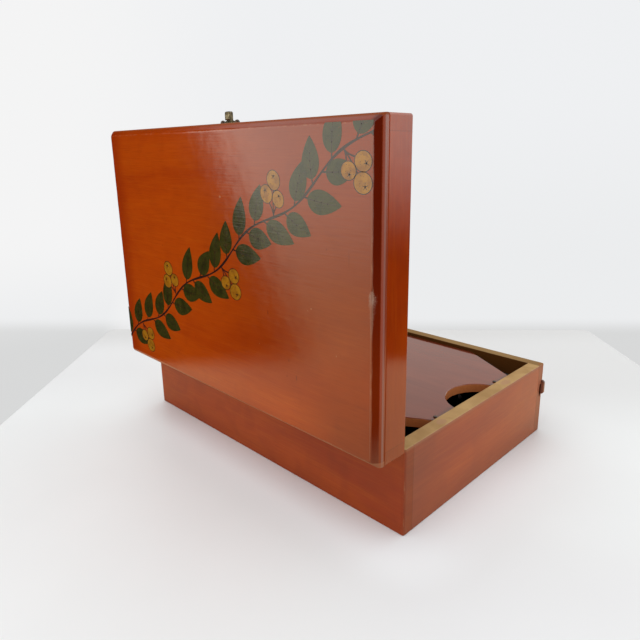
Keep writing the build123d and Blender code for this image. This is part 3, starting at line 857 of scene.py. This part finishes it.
def paint_finish(name, colour, dark, worn_through):
    """Old paint under the lid's varnish, thin in places."""
    finish = Finish(name)
    wood, height = varnished(finish, 0, 120.0)
    thin = finish.even_noise(5.0, 4.0, 0.6, 0.3, 50.0)
    finish.colour = finish.mix(thin.step(0.38, 0.66), colour, dark)
    fleck = finish.even_noise(1.1, 2.0, 0.5, 0.0, 55.0)
    finish.tint(fleck.step(0.66, 0.74) * worn_through, wood)
    coat(finish, height, 0.045)
    return finish.done(Coat_Weight=1.0)


leaf_green = paint_finish("leaf_green", (0.037, 0.034, 0.005), (0.022, 0.022, 0.003), 0.15)
stem_brown = paint_finish("stem_brown", (0.032, 0.010, 0.007), (0.018, 0.006, 0.005), 0.05)
berry_ochre = paint_finish("berry_ochre", (0.33, 0.135, 0.006), (0.22, 0.076, 0.004), 0.30)

stems, leaves, veins, berries, outlines = [], [], [], [], []
run = np.linspace(-4.0, band_length + 4.0, 260)
stems.append((0.0, strip(run, stem_across(run), 1.3 + 0.3 * np.sin(run * 0.21))))
for n, place in enumerate(np.arange(2.0, band_length + 4.0, leaf_spacing)):
    side = 1 if n % 2 == 0 else -1
    foot = (place, float(stem_across(place)))
    slope = float(stem_slope(place))
    if n % berry_every == 3:
        for reach, aside, radius in ((9.6, -4.6, 4.5), (12.6, 4.9, 4.9), (19.6, -1.8, 5.2)):
            heading = slope + side * math.radians(76.0)
            centre = turned(foot, heading, reach, aside)
            w = np.linspace(0.0, 1.0, 14)
            to_berry = turned(foot, heading, w * (reach - 0.6 * radius), aside * w**2 * 0.9)
            stems.append((0.0006 + 0.0001 * radius, strip(*to_berry, 0.8)))
            phase = heading + 0.7
            berries.append((0.0065, disc(centre, radius, 0.0, 0.05, phase)))
            ring = radius + 0.32
            outlines.append((0.008, disc(centre, ring, radius / ring - 0.02, 0.05, phase)))
            for stroke in berry_star(centre, radius, heading + math.atan2(aside, reach)):
                outlines.append((0.0095, stroke))
            for k in range(6):
                off_middle = radius * (0.35 + 0.11 * ((k * 3) % 5))
                speck = turned(centre, heading + 0.9 + k * 1.9, off_middle, 0.0)
                outlines.append((0.0095, disc(speck, 0.20)))
        continue
    heading = slope + side * (leaf_angle + 0.10 * math.sin(n * 2.1))
    length = leaf_length + 2.0 * math.sin(n * 1.7)
    stalk = np.linspace(0.0, 3.0, 8)
    stems.append((0.0008, strip(*turned(foot, heading, stalk, 0.0 * stalk), 0.9)))
    start = turned(foot, heading, 2.6, 0.0)
    leaves.append((0.0015 + 0.001 * (n % 4), leaf(start, heading, length, -side * leaf_bow)))
    veins += [(0.0053, vein) for vein in leaf_veins(start, heading, length, -side * leaf_bow)]

painted("band_stem", stems, stem_brown)
painted("band_leaves", leaves, leaf_green)
painted("band_veins", veins, stem_brown)
painted("band_berries", berries, berry_ochre)
painted("band_outlines", outlines, stem_brown)


# Clasp: a brass plate held by two round-headed screws on the lid's front edge.
# Its arm swings on a pin between two ears, and stands up when the lid is open.
clasp_grey = (0.20, 0.165, 0.10)
clasp_dark = (0.060, 0.048, 0.030)
clasp_brass = brass_finish("clasp_brass", clasp_grey, clasp_dark, 0.28, 0.60)
dress(clasp_brass, "clasp_plate", "clasp_arm", "clasp_pin")
dress(steel_finish("screw_steel"), "clasp_screws")


# Cover board: a thin varnished board over the tray, with cut corners and a finger notch at each end.
# Its sawn edges are paler than the top, and four small dark pins stand in it beside the notches.
cover_half_length = 121.4
cover_top = 52.0
cover_dark = (0.145, 0.022, 0.008)
cover_red = (0.195, 0.034, 0.012)
cover_streak = (0.26, 0.065, 0.025)
cover_edge_shade = (0.035, 0.010, 0.004)
sawn_light = (0.66, 0.235, 0.080)
sawn_dark = (0.50, 0.150, 0.045)


def cover_finish():
    """Dull red-brown varnish on top, painted shade round its edges by the walls, orange sawn wood on the
    edges.
    """
    finish = Finish("cover_varnish")
    broad = finish.noise((140.0, 30.0, 30.0), 3.0, 0.55, 0.6, 70.0)
    streak = finish.noise((40.0, 1.6, 1.6), 3.0, 0.6, 0.4, 73.0)
    finish.colour = finish.mix(broad.step(0.32, 0.7), cover_dark, cover_red)
    finish.tint(streak.step(0.45, 0.75) * 0.12, cover_streak)
    # Painted shade round the edges, where the board meets the walls
    to_side = finish.smallest(cover_half_length - abs(finish.x), long_joint - abs(finish.y))
    finish.tint(to_side.step(7.0, 0.5) * 0.75, cover_edge_shade)
    sawn = finish.z.step(cover_top - 0.15, cover_top - 0.45)
    finish.tint(sawn, finish.mix(streak, sawn_light, sawn_dark))
    coat(finish, streak, 0.03)
    return finish.done(Coat_Weight=1.0 - sawn * 0.7)


dress(cover_finish(), "cover_board")
dress(dark_steel, "board_pins")


# Tray and water cup: thin tin plate with a wired rim and soldered dividers.
# All of it is stoved with black japan, and the tray lifts out of the base whole.
japan_black = (0.0045, 0.0042, 0.0045)
japan_dusty = (0.013, 0.011, 0.010)
worn_tin = (0.14, 0.12, 0.10)
painted_glint = (0.80, 0.72, 0.76)


def japan_finish(name, wear):
    """Black japan: deep gloss, a little dust, small chips to the tin, and one pale spot that is a painted
    glint.
    """
    finish = Finish(name)
    dust = finish.even_noise(12.0, 4.0, 0.6)
    chip = finish.even_noise(2.2, 3.0, 0.6, 0.0, 4.0)
    finish.colour = finish.mix(dust.step(0.45, 0.75), japan_black, japan_dusty)
    finish.tint(chip.step(wear, wear + 0.02), worn_tin)
    # Painted glint: a pale spot on the divider seen through the finger notch
    finish.tint(spot(finish, (-81.9, -50.3, 24.0), (2.2, 1.5, 2.2)), painted_glint)
    finish.set(Coat_IOR=coat_ior)
    finish.relief(dust, 0.05)
    return finish.done(Roughness=0.32, Coat_Weight=0.6, Coat_Roughness=0.12)


dress(japan_finish("tray_japan", 0.76), "tray", "tray_dividers")
dress(japan_finish("cup_japan", 0.74), "water_cup")


# Pans and paints: small white glazed pans stand in the tray, each with a cake of watercolour.
# The cakes are pressed into the pans, and worn hollow. The two dishes have the same glaze.
glaze_white = (0.76, 0.74, 0.68)
glaze_grey = (0.68, 0.67, 0.64)
pan_stain = (0.30, 0.22, 0.18)
dish_stain = (0.36, 0.30, 0.42)


def glaze_finish(name, stain):
    """White glaze, a little greyer in places, with thin stains of colour."""
    finish = Finish(name)
    body = finish.even_noise(9.0, 3.0, 0.5)
    finish.colour = finish.mix(body.step(0.3, 0.8), glaze_white, glaze_grey)
    wash = finish.even_noise(7.0, 4.0, 0.6, 0.8, 6.0)
    finish.tint(wash.step(0.58, 0.74) * 0.5, stain)
    return finish.done(Roughness=0.16, IOR=1.5, Coat_Weight=0.4, Coat_Roughness=0.06)


dress(glaze_finish("pan_glaze", pan_stain), "paint_pans")
dress(glaze_finish("dish_glaze", dish_stain), "mixing_dish_left", "mixing_dish_right")

paint_colours = {
    "paint_lemon_yellow": (0.80, 0.66, 0.06),
    "paint_gamboge": (0.76, 0.37, 0.02),
    "paint_vermilion": (0.60, 0.06, 0.02),
    "paint_crimson_lake": (0.22, 0.008, 0.02),
    "paint_ultramarine": (0.02, 0.035, 0.30),
    "paint_prussian_blue": (0.008, 0.025, 0.075),
    "paint_chinese_white": (0.78, 0.77, 0.72),
    "paint_yellow_ochre": (0.48, 0.25, 0.045),
    "paint_light_red": (0.33, 0.085, 0.035),
    "paint_burnt_sienna": (0.17, 0.045, 0.015),
    "paint_sap_green": (0.05, 0.10, 0.02),
    "paint_sepia": (0.045, 0.026, 0.015),
}


def cake_finish(name, colour):
    """A dry cake of paint: matt and crumbly, smoother and deeper where the brush has wetted it."""
    finish = Finish(name)
    crumb = finish.even_noise(1.0, 4.0, 0.65)
    swirl = finish.noise((5.0, 2.0, 5.0), 3.0, 0.6, 1.5, 8.0)
    deep = tuple(c * 0.55 for c in colour)
    chalky = tuple(0.8 * c + 0.05 for c in colour)
    finish.colour = finish.mix(swirl.step(0.35, 0.7), deep, colour)
    finish.tint(crumb.step(0.55, 0.75) * 0.5, chalky)
    roughness = swirl.step(0.4, 0.6) * 0.35 + 0.45
    finish.relief(crumb + swirl, 0.25)
    return finish.done(Roughness=roughness, Specular_IOR_Level=0.35)


for cake, cake_colour in paint_colours.items():
    dress(cake_finish(cake, cake_colour), cake)


# Brushes: black lacquered wooden handles, nickel ferrules pinched on, and tufts of brown hair.
# The tufts are glued into the ferrules, and the brushes lie loose in the tray.
lacquer_black = (0.010, 0.008, 0.008)
lacquer_rubbed = (0.10, 0.035, 0.015)
nickel_bright = (0.58, 0.56, 0.52)
nickel_dull = (0.38, 0.35, 0.30)
hair_dark = (0.055, 0.020, 0.008)
hair_pale = (0.20, 0.085, 0.032)


def handle_finish():
    """Black lacquer, rubbed a little brown in places."""
    finish = Finish("handle_lacquer")
    rub = finish.noise((18.0, 2.0, 2.0), 3.0, 0.6)
    finish.colour = finish.mix(rub.step(0.6, 0.75), lacquer_black, lacquer_rubbed)
    return finish.done(Roughness=0.35, Coat_Weight=0.8, Coat_Roughness=0.10)


def ferrule_finish():
    """Nickel plate with rings rolled into it."""
    finish = Finish("ferrule_nickel")
    rings = finish.math("SINE", finish.x * 2.4)
    haze = finish.even_noise(3.0, 3.0)
    finish.colour = finish.mix(haze.step(0.4, 0.7), nickel_bright, nickel_dull)
    finish.relief(rings.step(0.7, 1.0), 0.06)
    return finish.done(Metallic=1.0, Roughness=haze * 0.25 + 0.14)


def hair_finish():
    """Fine brown hair laid along the brush, some of it paler."""
    finish = Finish("tuft_hair")
    hair = finish.noise((14.0, 0.12, 0.12), 3.0, 0.6, 0.3)
    finish.colour = finish.mix(hair.step(0.35, 0.65), hair_dark, hair_pale)
    finish.relief(hair, 0.12)
    return finish.done(Roughness=0.6, Sheen_Weight=0.3, Sheen_Roughness=0.4)


handle_lacquer, ferrule_nickel, tuft_hair = handle_finish(), ferrule_finish(), hair_finish()
for brush in ("brush_large", "brush_medium", "brush_small"):
    dress(handle_lacquer, f"{brush}_handle")
    dress(ferrule_nickel, f"{brush}_ferrule")
    dress(tuft_hair, f"{brush}_tuft")

# Table: a small wooden table painted white, with rounded corners, close to a white wall.
# Its sides run along the line of sight, and its ends are a little askew.
sight = np.array([math.sin(view_azimuth), -math.cos(view_azimuth)]) * -1.0
beside = np.array([sight[1], -sight[0]])
table_near, table_far = 144.0, 648.0
table_left, table_right = -262.0, 315.0
table_corner = 9.0
table_skew = 0.055
table_thickness = 22.0
box_half_x, box_half_y = 130.0, 86.0
paint_white = (0.850, 0.875, 0.865)
paint_dull = (0.825, 0.850, 0.840)
paint_lit_near_box = (0.935, 0.970, 0.970)
near_right_shade = (0.790, 0.800, 0.795)
far_left_shade = (0.760, 0.770, 0.765)
far_right_shade = (0.715, 0.725, 0.715)
by_wall_shade = (0.66, 0.665, 0.655)
paint_in_gloss = (0.75, 0.68, 0.40)


def table_surface():
    """The table top: a rounded rectangle in plan, with its upper edge rounded off."""
    half_u = (table_right - table_left) / 2
    half_v = (table_far - table_near) / 2
    middle = eye[:2] + sight * (table_near + table_far) / 2 + beside * (table_left + table_right) / 2
    foot = -table_thickness
    profile = rounded([(3.0, foot), (0.0, foot), (0.0, 0.0), (5.0, 0.0)], (2.0, 3.0), 6)
    rows = []
    for inset, level in profile:
        flat = rounded_rectangle(half_u - inset, half_v - inset, table_corner - inset, 24, 14)
        plan = middle + flat[:, :1] * beside + (flat[:, 1:] - table_skew * flat[:, :1]) * sight
        rows.append(np.concatenate([plan, np.full((len(plan), 1), level)], axis=1))
    count = len(rows[0])
    faces = [tuple(face) for face in ring_faces(len(rows), count)]
    faces.append(tuple(range(count - 1, -1, -1)))
    last = (len(rows) - 1) * count
    faces.append(tuple(range(last, last + count)))
    return np.concatenate(rows), faces


def toward(finish, heading):
    """How far a point lies in a level direction, measured from the middle of the box."""
    return finish.x * float(heading[0]) + finish.y * float(heading[1])


def table_finish():
    """White paint, satin and slightly uneven, with painted shade greyer by the wall and in patches to the
    sides, painted light round the box against its shadow, and warmer where the box's gloss shows it.
    """
    finish = Finish("table_paint")
    uneven = finish.even_noise(140.0, 3.0, 0.5)
    finish.colour = finish.mix(uneven.step(0.3, 0.7), paint_dull, paint_white)
    to_wall = toward(finish, sight)
    to_right = toward(finish, beside)
    # Painted shade: greyer patches to the sides and by the wall
    near_right = to_right.step(-30.0, 50.0) * to_wall.step(-135.0, -205.0)
    finish.tint(near_right, near_right_shade)
    far_left = to_right.step(-125.0, -215.0) * to_wall.step(5.0, 115.0)
    finish.tint(far_left, far_left_shade)
    far_right = to_right.step(45.0, 155.0) * to_wall.step(-90.0, 60.0)
    finish.tint(far_right, far_right_shade)
    finish.tint(to_wall.step(150.0, 225.0), by_wall_shade)
    past_end = finish.largest(abs(finish.x) - box_half_x, 0.0)
    past_side = finish.largest(abs(finish.y) - box_half_y, 0.0)
    away = finish.math("SQRT", past_end * past_end + past_side * past_side)
    # Painted light round the box, against its shadow on the table
    lit_near_box = away.step(48.0, 8.0) * finish.x.step(115.0, 55.0) * finish.y.step(-70.0, 10.0)
    finish.tint(lit_near_box, paint_lit_near_box)
    in_gloss = finish.add("LightPath").outputs["Is Glossy Ray"]
    finish.tint(in_gloss, paint_in_gloss)
    return finish.done(Roughness=0.42, Specular_IOR_Level=0.35)


table_points, table_faces = table_surface()
table = mesh_object("table", table_points, table_faces, table_finish())

# Room: white walls and soft daylight all round, which the camera sees as a plain pale background.
# In the gloss, windows shine behind the box and off its front left corner.
# The room past its right end is dark there, and so is the viewer.
wall_at_table = (0.685, 0.690, 0.690)
wall_low = (0.835, 0.845, 0.855)
wall_high = (0.860, 0.870, 0.885)
wall_left = (0.905, 0.905, 0.907)
window_low = (1.22, 1.08, 0.66)
window_high = (2.65, 2.58, 2.30)
window_left = (2.10, 2.05, 1.95)
plain_walls = (0.92, 0.89, 0.84)
dark_walls = (0.012, 0.007, 0.005)
soft_daylight = (0.96, 0.96, 0.98)

world = bpy.data.worlds.new("room")
bpy.context.scene.world = world
world.use_nodes = True
room = Nodes(world.node_tree)

direction = room.add("SeparateXYZ")
room.feed(direction.inputs[0], room.add("TexCoord").outputs["Generated"])
to_x, to_y, to_z = [Value(room, part) for part in direction.outputs]
# Bearings are degrees from +Y towards +X, and heights are degrees above the level
bearing = room.math("ARCTAN2", to_x, to_y) * (180.0 / math.pi)
height = room.math("ARCSINE", to_z) * (180.0 / math.pi)

# What the gloss shows: the dark begins at a slanting edge, and a strip of ceiling in it is light
past_edge = bearing - (height * 0.39 + 54.4)
off_ceiling = room.largest(height.step(41.0, 30.0), height.step(55.0, 64.0))
right_dark = past_edge.step(-2.2, 2.6) * bearing.step(118.0, 100.0) * off_ceiling
off_viewer = abs(bearing + 49.0)
viewer_dark = off_viewer.step(34.0, 24.0) * height.step(24.0, 12.0)
left_share = abs(bearing + 145.0).step(45.0, 25.0)
low_dark = left_share * height.step(3.0, -11.0)
dark_share = room.largest(right_dark, viewer_dark, low_dark)
behind_box = bearing.step(-30.0, -18.0) * room.math("LESS_THAN", bearing, 90.0)
window_share = behind_box * height.step(45.0, 20.0)
window_light = room.mix(height.step(-17.0, 1.0), window_low, window_high)
in_gloss = room.mix(window_share, plain_walls, window_light)
in_gloss = room.mix(left_share, in_gloss, window_left)
in_gloss = room.mix(dark_share, in_gloss, dark_walls)

# What the camera sees: the wall grows darker toward the table's far edge, and is lightest at the left
edge_normal = sight + table_skew * beside
ahead = to_x * float(edge_normal[0]) + to_y * float(edge_normal[1])
drop = to_z / ahead
pale_share = room.largest(drop.step(-0.336, -0.302), ahead.step(0.6, 0.3))
seen = room.mix(pale_share, wall_at_table, wall_low)
seen = room.mix(height.step(-11.0, 6.0), seen, wall_high)
left_part = room.largest(height.step(-18.0, -7.0), bearing.step(112.0, 116.0) * 0.75)
left_part = left_part * bearing.step(132.0, 110.0) * bearing.step(20.0, 60.0)
seen = room.mix(left_part, seen, wall_left)

light_path = room.add("LightPath").outputs
light = room.mix(light_path["Is Glossy Ray"], soft_daylight, in_gloss)
light = room.mix(light_path["Is Camera Ray"], light, seen)
light = room.mix(light_path["Is Transmission Ray"], light, seen)
background = room.add("Background")
room.feed(background.inputs["Color"], light)
background.inputs["Strength"].default_value = 1.0
room.feed(room.add("OutputWorld").inputs["Surface"], background.outputs[0])

# Daylight: one large round soft light above the box, on its hinge side.
# It points at the middle of the box, and the gloss doesn't show it.
lamp = bpy.data.objects.new("daylight", bpy.data.lights.new("daylight", "AREA"))
bpy.context.scene.collection.objects.link(lamp)
lamp.data.shape = "DISK"
lamp.data.size = 1.1
lamp.data.energy = 4.0
lamp.location = (0.15, 0.45, 1.35)
lamp_aim = np.array([0.0, 0.0, 0.08]) - np.array(lamp.location)
lamp.rotation_mode = "QUATERNION"
lamp.rotation_quaternion = Vector(lamp_aim).to_track_quat("-Z", "Y")
lamp.visible_glossy = False

bpy.context.scene.view_settings.view_transform = "Standard"
